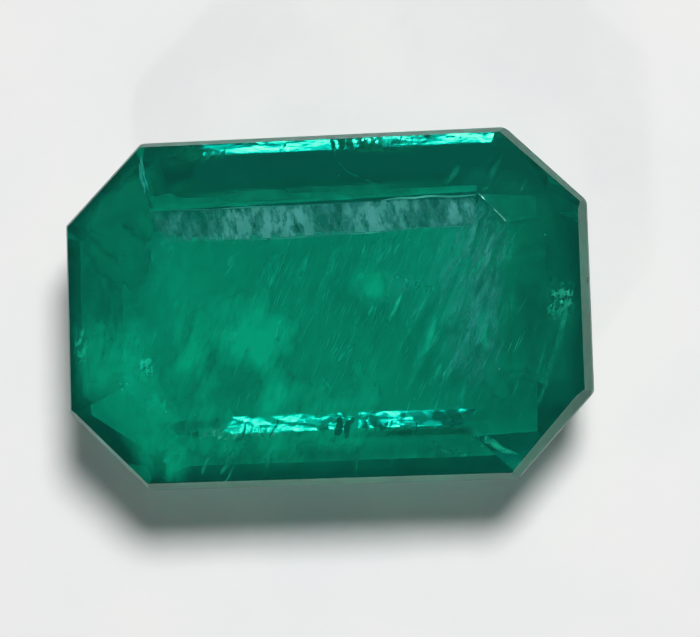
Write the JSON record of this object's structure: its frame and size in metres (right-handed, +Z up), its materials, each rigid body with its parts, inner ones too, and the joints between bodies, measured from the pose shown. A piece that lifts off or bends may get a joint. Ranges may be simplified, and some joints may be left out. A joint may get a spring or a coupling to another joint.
{
  "type": "emerald-cut emerald gemstone",
  "caption": "Loose long octagonal step-cut emerald with a broad table, a frosted girdle and a large flat base facet it rests on.",
  "frame": {"origin": "centre of the bounding box at the bottom, on the flat base facet that the stone rests on", "axes": "+X along the stone's length, +Y across its width, +Z up, out of the table facet"},
  "size_m": [0.015, 0.0098, 0.0057],
  "materials": {
    "emerald": "clear saturated green crystal with polished facets and a finely ground girdle"
  },
  "bodies": {
    "root": {"emerald": "emerald"}
  },
  "joints": []
}
